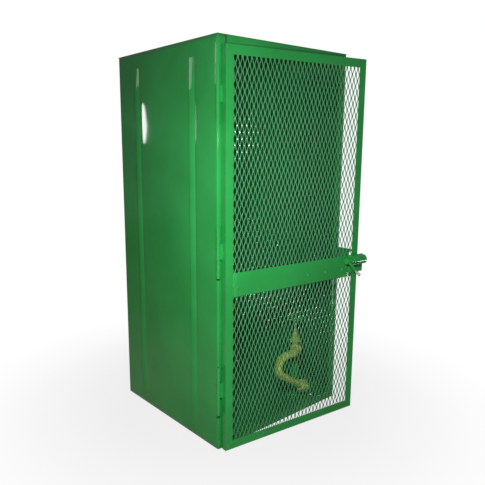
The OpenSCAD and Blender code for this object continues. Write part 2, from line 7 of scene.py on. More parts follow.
import bpy
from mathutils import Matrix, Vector

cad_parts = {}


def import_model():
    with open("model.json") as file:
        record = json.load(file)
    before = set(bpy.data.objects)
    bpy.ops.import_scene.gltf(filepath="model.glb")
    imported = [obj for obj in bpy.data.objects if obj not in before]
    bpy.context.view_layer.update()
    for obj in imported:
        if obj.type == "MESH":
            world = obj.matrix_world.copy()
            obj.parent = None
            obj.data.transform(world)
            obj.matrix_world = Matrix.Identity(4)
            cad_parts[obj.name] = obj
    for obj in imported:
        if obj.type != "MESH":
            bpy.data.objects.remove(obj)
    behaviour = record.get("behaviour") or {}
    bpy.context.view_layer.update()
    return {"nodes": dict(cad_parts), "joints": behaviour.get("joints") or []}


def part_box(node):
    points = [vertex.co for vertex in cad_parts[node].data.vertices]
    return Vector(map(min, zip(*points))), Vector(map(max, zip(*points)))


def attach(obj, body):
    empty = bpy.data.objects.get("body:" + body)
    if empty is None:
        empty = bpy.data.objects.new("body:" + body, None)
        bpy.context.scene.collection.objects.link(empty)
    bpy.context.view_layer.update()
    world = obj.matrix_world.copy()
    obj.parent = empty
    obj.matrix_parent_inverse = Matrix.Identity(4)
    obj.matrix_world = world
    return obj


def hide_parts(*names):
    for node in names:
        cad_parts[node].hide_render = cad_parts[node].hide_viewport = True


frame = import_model()

# ---- Places that the solids give, in millimetres ----
MM = 0.001
swing = next(joint for joint in frame["joints"] if joint["name"] == "door_swing")


def mm(metres):
    """Millimetres, to the tenth that the solids are drawn to."""
    return round(metres / MM, 1)


HINGE_X, HINGE_Y = mm(swing["pos_m"][0]), mm(swing["pos_m"][1])
AJAR = math.radians(-swing["range_deg"][0])    # how far the door stands open


def body_box(name):
    """A node's box, as (x0, y0, z0, x1, y1, z1)."""
    low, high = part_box(name)
    return tuple(mm(v) for v in (*low, *high))


def door_box(name):
    """A door node's box in the door's own directions, from the hinge line and the floor."""
    c, s = math.cos(AJAR), math.sin(AJAR)
    points = []
    for v in frame["nodes"][name].data.vertices:
        x, y = v.co.x - HINGE_X * MM, v.co.y - HINGE_Y * MM
        points.append((x * c - y * s, x * s + y * c, v.co.z))
    axes = list(zip(*points))
    return tuple(mm(v) for v in (*map(min, axes), *map(max, axes)))


DOOR_L, DOOR_FACE, DOOR_FOOT, STILE_R, _, DOOR_TOP = door_box("hinge_stile")
DOOR_R = door_box("latch_stile")[3]
FRAME_W = STILE_R - DOOR_L                     # width of the frame's face
HINGE_ZS = (1460.0, 855.0, 268.0)              # middles of the hinges
KNUCKLE = 70.0                                 # length of a hinge's door knuckle
HALF_W = body_box("roof_pan")[3]               # half of the body's width, over its sheets
LIP_X, HALF_D, WALL_H = body_box("left_panel")[3:]


def door(x, y, z):
    """A point of the door, in its own millimetres, as a point of the model."""
    c, s = math.cos(AJAR), math.sin(AJAR)
    return Vector(((HINGE_X + x * c + y * s) * MM, (HINGE_Y - x * s + y * c) * MM, z * MM))


def body(x, y, z):
    """A point of the cabinet, in millimetres, as a point of the model."""
    return Vector((x * MM, y * MM, z * MM))


# ---- Materials ----
class Nodes:
    """A node tree, with short ways to fill it."""

    def __init__(self, tree):
        self.tree = tree

    def node(self, kind, **values):
        n = self.tree.nodes.new(kind)
        for key, value in values.items():
            setattr(n, key, value)
        return n

    def feed(self, socket, value):
        """Links a socket to another, or sets it to a value."""
        if isinstance(value, bpy.types.NodeSocket):
            self.tree.links.new(value, socket)
        else:
            socket.default_value = value

    def math(self, operation, *values):
        n = self.node("ShaderNodeMath", operation=operation)
        for socket, value in zip(n.inputs, values):
            self.feed(socket, value)
        return n.outputs[0]

    def mixed(self, share, first, second):
        """The first colour where share is 0, the second where it is 1."""
        n = self.node("ShaderNodeMix", data_type="RGBA")
        for place, value in ((0, share), (6, first), (7, second)):
            self.feed(n.inputs[place], value)
        return n.outputs[2]

    def spread(self, value, low, high, from_low=0.3, from_high=0.7, ease="LINEAR"):
        """Turns the range from_low to from_high into low to high."""
        n = self.node("ShaderNodeMapRange", interpolation_type=ease)
        for key, number in (("From Min", from_low), ("From Max", from_high),
                            ("To Min", low), ("To Max", high)):
            n.inputs[key].default_value = number
        self.feed(n.inputs["Value"], value)
        return n.outputs["Result"]


class Paint(Nodes):
    """A material and its nodes."""

    def __init__(self, name):
        self.mat = bpy.data.materials.new(name)
        self.mat.use_nodes = True
        super().__init__(self.mat.node_tree)
        self.bsdf = self.tree.nodes["Principled BSDF"]
        self.coord = self.node("ShaderNodeTexCoord").outputs["Object"]

    def put(self, key, value):
        """Feeds an input of the shader."""
        self.feed(self.bsdf.inputs[key], value)

    def along(self, axis):
        """How far along X, Y or Z a point lies."""
        split = self.node("ShaderNodeSeparateXYZ")
        self.feed(split.inputs[0], self.coord)
        return split.outputs[axis]

    def distance(self, place):
        """How far a point lies from a place."""
        n = self.node("ShaderNodeVectorMath", operation="DISTANCE")
        self.feed(n.inputs[0], self.coord)
        n.inputs[1].default_value = place
        return n.outputs["Value"]

    def scaled(self, *factors):
        m = self.node("ShaderNodeMapping")
        m.inputs["Scale"].default_value = factors
        self.feed(m.inputs["Vector"], self.coord)
        return m.outputs["Vector"]

    def noise(self, scale, detail=3.0, rough=0.5, vector=None):
        n = self.node("ShaderNodeTexNoise")
        n.inputs["Scale"].default_value = scale
        n.inputs["Detail"].default_value = detail
        n.inputs["Roughness"].default_value = rough
        self.feed(n.inputs["Vector"], vector or self.coord)
        return n.outputs["Fac"]

    def ramp(self, value, stops):
        """Colours by value: stops holds pairs of a place and a colour."""
        r = self.node("ShaderNodeValToRGB")
        elements = r.color_ramp.elements
        while len(elements) < len(stops):
            elements.new(0.5)
        for e, (place, colour) in zip(elements, stops):
            e.position = place
            e.color = (*colour, 1)
        self.feed(r.inputs["Fac"], value)
        return r.outputs["Color"]

    def bump(self, height, strength, distance, normal=None):
        b = self.node("ShaderNodeBump")
        b.inputs["Strength"].default_value = strength
        b.inputs["Distance"].default_value = distance
        self.feed(b.inputs["Height"], height)
        if normal:
            self.feed(b.inputs["Normal"], normal)
        return b.outputs["Normal"]


# Pairs of a darker and a lighter green
BRIGHT = ((0.017, 0.265, 0.050), (0.026, 0.335, 0.070))
HANDLED = ((0.017, 0.24, 0.046), (0.026, 0.31, 0.066))
# Inside faces of the back, roof, floor, header and sill: a darker green, painted shade
PAINTED_SHADE_INSIDE = ((0.019, 0.168, 0.040), (0.027, 0.215, 0.056))
# Inside faces of the side sheets: darker still, painted shade, less dark towards the back
PAINTED_SHADE_SIDE = ((0.011, 0.100, 0.026), (0.016, 0.130, 0.036))
PAINTED_SHADE_SIDE_REAR = ((0.022, 0.200, 0.048), (0.031, 0.255, 0.066))
# The strands' greens: paler and greyer than the frame's, a painted sheen
MESH = ((0.047, 0.208, 0.086), (0.068, 0.256, 0.112))
OUTER_SKIN = (1.5, 1.0, 0.8)    # mm along X, Y and Z: a face that near the outside is an outer one
REAR_FADE = 0.16                # metres, half the stretch where the front's colour turns to the rear's


def inside_shade_mask(p):
    """0 on the outer faces of the sides, front and roof, 1 on all that lies further in, where the paint
    carries a painted shade.
    """
    limits = [(size - skin) * MM for size, skin in zip((HALF_W, HALF_D, WALL_H), OUTER_SKIN)]
    masks = [p.math("LESS_THAN", p.math("ABSOLUTE", p.along(axis)), limit)
             for axis, limit in zip("XYZ", limits)]
    return p.math("MULTIPLY", p.math("MULTIPLY", masks[0], masks[1]), masks[2])


def rear_shade_mask(p):
    """0 towards the cabinet's front, 1 towards its back: the side sheets' painted shade inside is less
    dark towards the back.
    """
    return p.spread(p.along("Y"), 0.0, 1.0, -REAR_FADE, REAR_FADE)


def enamel(name, greens, rough, peel, other=None, where=None):
    """Glossy oil enamel, brushed on: slow changes of depth, brush lines and orange peel.
    other is a second pair of greens, laid on where the mask where(paint) is 1."""
    p = Paint(name)
    depth = p.noise(3.2, 4.0, 0.55)
    colour = p.ramp(depth, list(zip((0.32, 0.68), greens)))
    if other:
        colour = p.mixed(where(p), colour, p.ramp(depth, list(zip((0.32, 0.68), other))))
    p.put("Base Color", colour)
    p.put("Roughness", p.spread(p.noise(9.0, 3.0), *rough))
    waves = p.bump(p.noise(7.0, 2.0), 0.25, 0.0012)
    strokes = p.noise(60.0, 3.0, 0.6, p.scaled(1.0, 1.0, 0.06))
    brushed = p.bump(strokes, 0.05, 0.0006, waves)
    p.put("Normal", p.bump(p.noise(420.0, 2.0), peel, 0.0002, brushed))
    p.put("Specular IOR Level", 0.42)
    return p


def worn_enamel(name, bare_below):
    """Enamel that hands have rubbed through to the steel below a height."""
    p = enamel(name, HANDLED, (0.06, 0.12), 0.03)
    painted_colour = p.bsdf.inputs["Base Color"].links[0].from_socket
    ragged = p.math("MULTIPLY_ADD", p.noise(260.0, 3.0), 0.008, p.along("Z"))
    bare = p.spread(ragged, 1.0, 0.0, bare_below + 0.003, bare_below + 0.005)
    steel = p.ramp(p.noise(120.0, 3.0), [(0.3, (0.20, 0.21, 0.20)), (0.7, (0.50, 0.52, 0.50))])
    p.put("Base Color", p.mixed(bare, painted_colour, steel))
    return p


def mottled(name, tone, stops, gloss, rough, metallic=0.0):
    """Plain stuff, patchy in colour and gloss: tone and gloss say what noise each follows."""
    p = Paint(name)
    p.put("Base Color", p.ramp(p.noise(*tone), stops))
    p.put("Roughness", p.spread(p.noise(*gloss), *rough))
    p.put("Metallic", metallic)
    return p


def sand_cast(p, grain):
    """The skin that a sand mould leaves."""
    sand = p.bump(p.noise(900.0, 2.0), grain, 0.0003)
    p.put("Normal", p.bump(p.noise(120.0, 3.0), 0.2, 0.0006, sand))


def plated():
    p = mottled("zinc_plate", (90.0, 4.0, 0.6), [(0.3, (0.36, 0.37, 0.37)), (0.7, (0.62, 0.62, 0.60))],
                (140.0, 3.0), (0.26, 0.42), 1.0)
    p.put("Normal", p.bump(p.noise(600.0, 2.0), 0.12, 0.0002))
    return p


# Cast brass made brighter and greener than it is: painted light and a painted green reflection
def cast_brass_painted_light():
    p = mottled("cast_brass_painted_light", (38.0, 5.0, 0.6),
                [(0.28, (0.50, 0.58, 0.07)), (0.5, (0.74, 0.86, 0.13)), (0.75, (0.90, 0.95, 0.28))],
                (70.0, 4.0), (0.34, 0.5), 0.25)
    sand_cast(p, 0.22)
    return p


# Turned brass made brighter and greener than it is: painted light and a painted green reflection
def turned_brass_painted_light():
    p = mottled("turned_brass_painted_light", (55.0, 4.0, 0.6), [(0.3, (0.68, 0.72, 0.15)), (0.7, (0.90, 0.93, 0.32))],
                (90.0, 3.0), (0.22, 0.36), 0.35)
    tool_marks = p.noise(700.0, 2.0, 0.5, p.scaled(0.3, 0.3, 2.0))
    p.put("Normal", p.bump(tool_marks, 0.1, 0.0002))
    return p


def dark_bronze():
    """The handled, darkened casting of the valve's body."""
    p = mottled("dark_bronze", (44.0, 5.0, 0.6), [(0.3, (0.20, 0.13, 0.05)), (0.7, (0.46, 0.34, 0.13))],
                (60.0, 4.0), (0.18, 0.34), 0.9)
    sand_cast(p, 0.15)
    return p


def rubber():
    p = mottled("rubber", (60.0, 3.0), [(0.3, (0.018, 0.018, 0.018)), (0.7, (0.04, 0.04, 0.038))],
                (200.0, 2.0), (0.6, 0.8))
    p.put("Normal", p.bump(p.noise(800.0, 2.0), 0.2, 0.0002))
    return p


GREEN = enamel("green_enamel", BRIGHT, (0.04, 0.065), 0.02).mat
# Bright green outside; the inside faces darker, a painted shade
BOX_GREEN_SHADED_INSIDE = enamel("green_enamel_box_painted_shade", BRIGHT, (0.04, 0.065), 0.02, PAINTED_SHADE_INSIDE, inside_shade_mask).mat
# Inside faces of the side sheets: painted shade, less dark towards the back
INSIDE_PAINTED_SHADE = enamel("green_enamel_inside_painted_shade", PAINTED_SHADE_SIDE, (0.30, 0.42), 0.06, PAINTED_SHADE_SIDE_REAR, rear_shade_mask).mat
# The mesh's paint: paler and greyer than the frame's, a painted sheen
MESH_SHEEN_GREEN = enamel("green_enamel_mesh_painted_sheen", MESH, (0.10, 0.17), 0.45).mat
# The nodes that aren't plain green, by paint
CAD_PAINT = {
    BOX_GREEN_SHADED_INSIDE: ("back_panel", "roof_pan", "floor_pan", "front_header", "front_sill"),
    cast_brass_painted_light().mat: ("valve_bonnet", "outlet_bend"),
    dark_bronze().mat: ("valve_body",),
    worn_enamel("green_enamel_worn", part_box("bolt_handle")[0][2] + 0.020).mat: ("bolt_handle",),
    turned_brass_painted_light().mat: ("packing_nut", "valve_stem", "valve_disc", "union_nut", "hose_coupling"),
    plated().mat: ("roof_nuts", "hinge_pins", "rail_nuts", "handwheel_nut"),
    rubber().mat: ("disc_washer", "coupling_gasket"),
}
painted = {name: mat for mat, names in CAD_PAINT.items() for name in names}
for name, ob in frame["nodes"].items():
    ob.data.materials.clear()
    ob.data.materials.append(painted.get(name, GREEN))


# ---- Edges of the solids ----
WELD = 0.02 * MM                       # vertices nearer than this are one
FLAT = math.radians(0.4)               # faces that meet at less than this are one
CORNER = math.radians(40)              # edges that turn more than this are rounded


def soften(names, width, segments=2):
    """Rounds the sharp edges of solids, as bending, grinding and paint leave them."""
    for name in names:
        ob = frame["nodes"][name]
        ob.modifiers.new("weld", "WELD").merge_threshold = WELD
        flat = ob.modifiers.new("flat", "DECIMATE")
        flat.decimate_type = "DISSOLVE"
        flat.angle_limit = FLAT
        bevel = ob.modifiers.new("bevel", "BEVEL")
        bevel.width = width * MM
        bevel.segments = segments
        bevel.angle_limit = CORNER
        ob.modifiers.new("normals", "WEIGHTED_NORMAL")


soften(("front_header", "front_sill", "back_panel"), 0.9, 3)
soften(("latch_base_plate", "bolt_keeper"), 0.9)
soften(("hinge_body_knuckles", "hinge_door_knuckles", "bolt_barrel"), 0.7)
soften(("sliding_bolt", "bolt_handle"), 1.2)


# ---- New pieces ----
def piece(name, verts, faces, rides, mat, smooth=False):
    """A new object from its mesh, in the green enamel's slot, that moves with a body."""
    mesh = bpy.data.meshes.new(name)
    mesh.from_pydata([tuple(v) for v in verts], [], faces)
    mesh.materials.append(mat)
    if smooth:
        mesh.shade_smooth()
    ob = bpy.data.objects.new(name, mesh)
    bpy.context.scene.collection.objects.link(ob)
    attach(ob, rides)
    return ob


def tube_faces(first, rings, n):
    """The faces of a closed bar through rings of n corners, whose first corner is number first."""
    faces = []
    for k in range(rings - 1):
        a = first + n * k
        b = a + n
        for i in range(n):
            j = (i + 1) % n
            faces.append((a + i, a + j, b + j, b + i))
    last = first + n * (rings - 1)
    faces.append(tuple(first + i for i in range(n))[::-1])
    faces.append(tuple(last + i for i in range(n)))
    return faces


# Expanded metal: bonds where four strands meet, all leaning the same way. In mm and degrees
SHORT_WAY, LONG_WAY = 22.0, 50.0       # from bond to bond
STRAND_W, STRAND_T = 3.4, 1.6
BOND = 5.5                             # height of a bond
BOND_LEAN = 33.6
STRAND_LEANS = (30.0, 46.0)            # a strand twists this much from its foot to its head
STRAND_CROWN, BOND_CROWN = 0.09, 0.05  # how far the middle is proud of the edges
MESH_BEHIND = 2.45                     # from the front of the solid sheet to the bonds' middles
PLACE_SCATTER = (0.12, 0.10, 0.2)      # how far the bonds lie out of true along X, Y and Z
LEAN_SCATTER, TWIST_SCATTER = 0.55, 1.0
TWIST_STEPS = (0.25, 0.5, 0.75)        # shares of a strand's run at which it has a ring
SHORTEST = 0.05                        # the smallest share of a strand that is kept at an edge
STRAND_EDGE = math.radians(30)         # edges that turn more than this are shaded as sharp


def flat_ring(x, y, z, lean, width, crown):
    """The six corners of a strand's level section, its front turned left by lean."""
    c, s = math.cos(lean), math.sin(lean)
    half, back = width / 2, STRAND_T
    corners = ((-half, 0.0), (0.0, -crown), (half, 0.0), (half, back), (0.0, back + crown), (-half, back))
    return [door(x + a * c + b * s, y - a * s + b * c - back / 2 * c, z) for a, b in corners]


def bond_grid(box, rng):
    """The bonds by column and row, as (x, y, z, lean, twist), each a little out of true."""
    x0, y0, z0, x1, _, z1 = box
    columns = int((x1 - x0) / SHORT_WAY) + 2
    rows = int((z1 - z0) / LONG_WAY) + 2
    bonds = {}
    for j in range(-1, 2 * rows + 1):
        for i in range(-1, columns + 1):
            place = (x0 + (i + (0.5 if j % 2 else 0.0)) * SHORT_WAY, y0 + MESH_BEHIND,
                     z0 + j * LONG_WAY / 2)
            x, y, z = (at + rng.gauss(0, by) for at, by in zip(place, PLACE_SCATTER))
            lean = math.radians(BOND_LEAN + rng.gauss(0, LEAN_SCATTER))
            bonds[i, j] = (x, y, z, lean, math.radians(rng.gauss(0, TWIST_SCATTER)))
    return bonds


def strand_rings(foot, head, side, box):
    """A strand's rings from its lower to its upper bond, cut off at the sheet's edges."""
    x0, _, z0, x1, _, z1 = box
    half = STRAND_W / 2
    x, y, z, lean, twist = foot
    start = Vector((x + side * half * math.cos(lean), y - side * half / 2 * math.sin(lean), z + BOND / 2))
    x, y, z, lean, _ = head
    end = Vector((x - side * half * math.cos(lean), y + side * half / 2 * math.sin(lean), z - BOND / 2))
    lo, hi = 0.0, 1.0
    for axis, low, high in ((0, x0 + half, x1 - half), (2, z0, z1)):
        a, d = start[axis], end[axis] - start[axis]
        u, v = sorted(((low - a) / d, (high - a) / d))
        lo, hi = max(lo, u), min(hi, v)
    if hi - lo < SHORTEST:
        return []
    rings = []
    for s in [lo] + [q for q in TWIST_STEPS if lo + SHORTEST < q < hi - SHORTEST] + [hi]:
        turn = twist + math.radians(STRAND_LEANS[0] * (1 - s) + STRAND_LEANS[1] * s)
        rings.append(flat_ring(*start.lerp(end, s), turn, STRAND_W, STRAND_CROWN))
    return rings


def expanded_sheet(name, node, seed):
    """One sheet of expanded metal, in place of a node."""
    box = door_box(node)
    x0, _, z0, x1, _, z1 = box
    bonds = bond_grid(box, random.Random(seed))
    bars = []
    for (i, j), bond in bonds.items():
        x, y, z, lean, _ = bond
        if x0 + STRAND_W < x < x1 - STRAND_W and z0 + BOND < z < z1 - BOND:
            bars.append([flat_ring(x, y, z + k * BOND / 2, lean, 2 * STRAND_W, BOND_CROWN)
                         for k in (-1, 1)])
        for side in (1, -1):
            head = bonds.get((i + (j % 2 if side > 0 else j % 2 - 1), j + 1))
            if head:
                bars.append(strand_rings(bond, head, side, box))
    verts, faces = [], []
    for rings in bars:
        if rings:
            faces += tube_faces(len(verts), len(rings), len(rings[0]))
            verts += [corner for ring in rings for corner in ring]
    ob = piece(name, verts, faces, "door", MESH_SHEEN_GREEN, smooth=True)
    ob.data.set_sharp_from_angle(angle=STRAND_EDGE)
    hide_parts(node)


expanded_sheet("upper_expanded_sheet", "upper_mesh", 11)
expanded_sheet("lower_expanded_sheet", "lower_mesh", 12)

# Weld beads, in mm
MITRE_BEAD, RAIL_BEAD = (5.0, 1.0), (4.0, 0.9)       # width and height
TAB_BEAD, TAB_SIDE_BEAD = (7.0, 3.0), (5.0, 2.0)
BEAD_STEP, BEAD_SIDES = 0.9, 8         # length of a bead's sections, and their number of corners
BEAD_RIPPLE, RIPPLE_PITCH = 0.10, 2.6  # a ripple's height, as a share, and its length
BEAD_UNEVEN, BEAD_WANDER = 0.03, 0.03  # scatter of a bead's size and path, as shares
BEAD_SUNK = 0.3                        # how deep a bead's edges lie in the metal
END_ROUND, END_BLUNT = 0.6, 0.05       # a bead rounds off over this share of its width, to this size


def bead(name, ends, across, out, size, seed):
    """A weld bead of the door from end to end, with its ripples, rounded off at both ends."""
    rng = random.Random(seed)
    width, height = size
    a, b = Vector(ends[0]), Vector(ends[1])
    across, out = Vector(across).normalized(), Vector(out).normalized()
    length = (b - a).length
    n = int(length / BEAD_STEP)
    verts = []
    for k in range(n + 1):
        s = k / n
        to_end = min(s, 1 - s) * length
        end = min(1.0, math.sqrt(to_end / (width * END_ROUND)) + END_BLUNT)
        ripple = 1 + BEAD_RIPPLE * math.sin(s * length / RIPPLE_PITCH * 2 * math.pi)
        grown = end * (ripple + rng.gauss(0, BEAD_UNEVEN))
        p = a.lerp(b, s) + across * rng.gauss(0, width * BEAD_WANDER)
        for i in range(BEAD_SIDES):
            t = math.pi * i / (BEAD_SIDES - 1)
            q = p + across * (math.cos(t) * width / 2 * grown)
            q += out * (math.sin(t) * height * grown - BEAD_SUNK)
            verts.append(door(*q))
    piece(name, verts, tube_faces(0, n + 1, BEAD_SIDES), "door", GREEN, smooth=True)


def frame_welds():
    """Ground welds on the door frame's four mitres and at the middle rail's ends."""
    near, far = 1.5, FRAME_W * 0.96    # where a mitre's bead starts and ends, from the outer corner
    clear = 4                          # between a rail's bead and the rail's edges
    corners = {"bottom_left": (DOOR_L, DOOR_FOOT, 1, 1), "bottom_right": (DOOR_R, DOOR_FOOT, -1, 1),
               "top_left": (DOOR_L, DOOR_TOP, 1, -1), "top_right": (DOOR_R, DOOR_TOP, -1, -1)}
    for seed, (name, (x, z, dx, dz)) in enumerate(corners.items()):
        ends = [(x + d * dx, DOOR_FACE, z + d * dz) for d in (near, far)]
        bead("mitre_weld_" + name, ends, (dx, 0, -dz), (0, -1, 0), MITRE_BEAD, seed)
    _, _, rail_foot, _, _, rail_top = door_box("middle_rail")
    for seed, (name, x) in enumerate((("left", DOOR_L + FRAME_W), ("right", DOOR_R - FRAME_W))):
        ends = [(x, DOOR_FACE, z) for z in (rail_foot + clear, rail_top - clear)]
        bead("rail_weld_" + name, ends, (1, 0, 0), (0, -1, 0), RAIL_BEAD, 10 + seed)


def hinge_welds():
    """Fillets between each hinge's tab and the stile: above it, below it and along its side."""
    half, inset = 4.5, 5.0             # a level fillet's half length, and how far inside the knuckle's end
    side_half, side_y = 28.0, -3.4     # the upright fillet's half length, and its y
    for k, z in enumerate(HINGE_ZS):
        for side, name in ((1, "upper"), (-1, "lower")):
            edge = z + side * (KNUCKLE / 2 - inset)
            ends = [(DOOR_L - 1, y, edge) for y in (-half, half)]
            bead("tab_weld_%s_%d" % (name, k + 1), ends, (0, 0, 1), (-1, 0, 0), TAB_BEAD,
                 20 + 2 * k + side)
        ends = [(DOOR_L, side_y, z + d) for d in (-side_half, side_half)]
        bead("tab_weld_side_%d" % (k + 1), ends, (0, 1, 0), (-0.7, -0.7, 0), TAB_SIDE_BEAD, 30 + k)


frame_welds()
hinge_welds()

# ---- Side panels: pressed ribs, rounded folds and the slight waves of large sheets. In mm ----
SHEET, FOLD_R, FOLD_STEPS = 2.0, 7.0, 5
FRONT_LIP, REAR_LIP = HALF_W + LIP_X, 25.0
RIB_YS = (-203.0, 203.0)
RIB_FOOT, RIB_TOP = 38.0, 1610.0
RIB_PROUD, RUN_IN = 5.5, 150.0         # a rib's height, and the length over which it grows to it
RIB_START = 0.55                       # the share of its height with which a rib starts
# Across a rib from back to front: how far it stands out at each place, as a share
RIB_SHAPE = ((-26.0, 0.0), (-19.0, 0.0), (-18.0, 0.0), (-15.2, 1.0), (-14.5, 1.0), (-6.0, 0.80),
             (2.0, 0.49), (8.0, 0.17), (12.5, -0.17), (14.5, -0.33), (16.0, -0.36), (20.0, -0.21),
             (24.5, -0.06), (29.0, -0.02), (38.0, -0.005), (50.0, 0.0))
RIB_EXTRA = (-10.0, -2.0, 5.0)         # more places across a rib that get a row of vertices
PLAN_STEP, ROW_CLEAR = 23.0, 5.0       # rows elsewhere, left out where this near to a rib's row
RIB_END_ROWS = (-1.5, -0.8, 0.8, 1.5, 12.0, 35.0, 60.0, 90.0, 120.0, RUN_IN)
PANEL_END_ROWS = (14.0, 1640.0, 1658.0)
HEIGHT_STEP, HEIGHT_ROWS = 25.44, 49   # rows between the ribs' ends
# A field without waves in front of the rear rib: its middle, reach and fading edge, along Y and Z
FLAT_FIELD = ((110.0, 150.0, 50.0), (1375.0, 210.0, 60.0))
REAR_STRIP, STRIP_FADE = 235.0, 30.0   # behind this there are no waves, only a shallow dish
DISH_START, DISH_W, DISH_DEPTH = 221.0, 130.0, 0.3
FOLD_CALM, END_CALM = 70.0, 90.0       # the waves fade out this near to the folds and the ends


def soft_step(t):
    """A soft step from 0 to 1."""
    t = min(1.0, max(0.0, t))
    return t * t * (3 - 2 * t)


def rib_height(y, z):
    """How far the ribs stand out of the side at a place."""
    run = min(z - RIB_FOOT, RIB_TOP - z)
    if run <= 0:
        return 0.0
    grown = min(1.0, RIB_START + (1 - RIB_START) * run / RUN_IN)
    for centre in RIB_YS:
        u = centre - y
        for (a, ha), (b, hb) in zip(RIB_SHAPE, RIB_SHAPE[1:]):
            if a <= u <= b:
                return RIB_PROUD * grown * (ha + (hb - ha) * (u - a) / (b - a))
    return 0.0


def sheet_wave(y, z):
    """The shallow waves of the sheet between its folds and ribs."""
    turn = 2 * math.pi
    # Each wave: its depth, then its lengths along y and z
    wave = 0.34 * math.sin(turn * (y / 410 + 0.13)) * math.sin(turn * (z / 760 + 0.31))
    wave += 0.22 * math.sin(turn * (y / 260 + z / 900 + 0.7))
    wave += 0.10 * math.sin(turn * (z / 330 - y / 700 + 0.2))
    flat = 1.0
    for at, (middle, reach, fade) in zip((y, z), FLAT_FIELD):
        flat *= soft_step((reach - abs(at - middle)) / fade)
    wave *= (1 - flat) * soft_step((REAR_STRIP - y) / STRIP_FADE)
    wave -= DISH_DEPTH * math.sin(math.pi * min(1.0, max(0.0, (y - DISH_START) / DISH_W)))
    calm = soft_step((HALF_D - abs(y)) / FOLD_CALM) * soft_step(min(z, WALL_H - z) / END_CALM)
    return wave * calm


def plan_stops():
    """The places along a side, from front to back, that get a row of vertices."""
    ribs = {c - u for c in RIB_YS for u in (*(u for u, _ in RIB_SHAPE), *RIB_EXTRA)}
    evenly = {PLAN_STEP * k for k in range(-15, 16)}
    return sorted(ribs | {y for y in evenly if all(abs(y - r) > ROW_CLEAR for r in ribs)})


def fold(sign):
    """The round corner at a side's front (sign -1) or back (sign 1), from front to back."""
    corner = []
    for k in range(FOLD_STEPS + 1):
        t = math.pi / 2 * k / FOLD_STEPS
        nx, ny = (-math.sin(t), -math.cos(t)) if sign < 0 else (-math.cos(t), math.sin(t))
        corner.append((-HALF_W + FOLD_R + FOLD_R * nx, sign * (HALF_D - FOLD_R) + FOLD_R * ny, nx, ny))
    return corner


def side_path():
    """The plan of a side's outside face, as (x, y, outward x, outward y), from front to back."""
    front = [(-HALF_W + FRONT_LIP - k * (FRONT_LIP - FOLD_R) / 3, -HALF_D, 0.0, -1.0) for k in range(3)]
    side = [(-HALF_W, y, -1.0, 0.0) for y in plan_stops()]
    rear = [(-HALF_W + FOLD_R + k * (REAR_LIP - FOLD_R) / 2, HALF_D, 0.0, 1.0) for k in (1, 2)]
    return front + fold(-1) + side + fold(1) + rear


def panel_heights():
    """The heights that get a row of vertices: closer together at the ribs' ends."""
    zs = {0.0, *PANEL_END_ROWS, WALL_H}
    zs |= {RIB_FOOT + d for d in RIB_END_ROWS} | {RIB_TOP - d for d in RIB_END_ROWS}
    return sorted(zs | {RIB_FOOT + RUN_IN + HEIGHT_STEP * k for k in range(1, HEIGHT_ROWS + 1)})


def side_skin(name, node, hand):
    """One side panel: hand is 1 for the left and -1 for the right."""
    path, zs = side_path(), panel_heights()
    m = len(zs)
    outer, inner = [], []
    for x, y, nx, ny in path:
        for z in zs:
            lift = (rib_height(y, z) + sheet_wave(y, z)) if nx == -1.0 else 0.0
            outer.append(body(hand * (x + nx * lift), y + ny * lift, z))
            inner.append(body(hand * (x + nx * (lift - SHEET)), y + ny * (lift - SHEET), z))
    count = len(outer)
    faces = []
    for i in range(len(path) - 1):
        for j in range(m - 1):
            a, b, c, d = i * m + j, (i + 1) * m + j, (i + 1) * m + j + 1, i * m + j + 1
            faces.append((a, d, c, b))
            faces.append((count + a, count + b, count + c, count + d))
    broad = len(faces)
    for i in range(len(path) - 1):
        for j, foot in ((0, True), (m - 1, False)):
            a, b = i * m + j, (i + 1) * m + j
            faces.append((a, b, count + b, count + a) if foot else (b, a, count + a, count + b))
    last = (len(path) - 1) * m
    for j in range(m - 1):
        faces.append((j, count + j, count + j + 1, j + 1))
        faces.append((last + j, last + j + 1, count + last + j + 1, count + last + j))
    if hand < 0:
        faces = [f[::-1] for f in faces]
    ob = piece(name, outer + inner, faces, "cabinet", GREEN)
    # The inner faces get the inside paint with its painted shade
    ob.data.materials.append(INSIDE_PAINTED_SHADE)
    for k in range(broad):
        ob.data.polygons[k].use_smooth = True
        ob.data.polygons[k].material_index = k % 2
    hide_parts(node)


side_skin("left_side_sheet", "left_panel", 1)
side_skin("right_side_sheet", "right_panel", -1)

# Flat bars, in mm
BAR_EASE = 1.1                         # radius of a bar's long edges
BAR_STEPS = 28
# Depth of two slow bows and of a tilt along a bar, each with the length of one radian of it
BOWS, TILT = ((0.06, 95.0), (0.04, 41.0)), (0.07, 60.0)


def bar_ring(y0, z0, y1, z1):
    """A bar's section, as (y, z), with four points to each eased corner."""
    corners = ((y0, z0, 1, 1, math.pi), (y1, z0, -1, 1, 1.5 * math.pi), (y1, z1, -1, -1, 0.0),
               (y0, z1, 1, -1, 0.5 * math.pi))
    ring = []
    for y, z, dy, dz, start in corners:
        for k in range(4):
            t = start + math.pi / 2 * k / 3
            ring.append((y + dy * BAR_EASE + BAR_EASE * math.cos(t),
                         z + dz * BAR_EASE + BAR_EASE * math.sin(t)))
    return ring


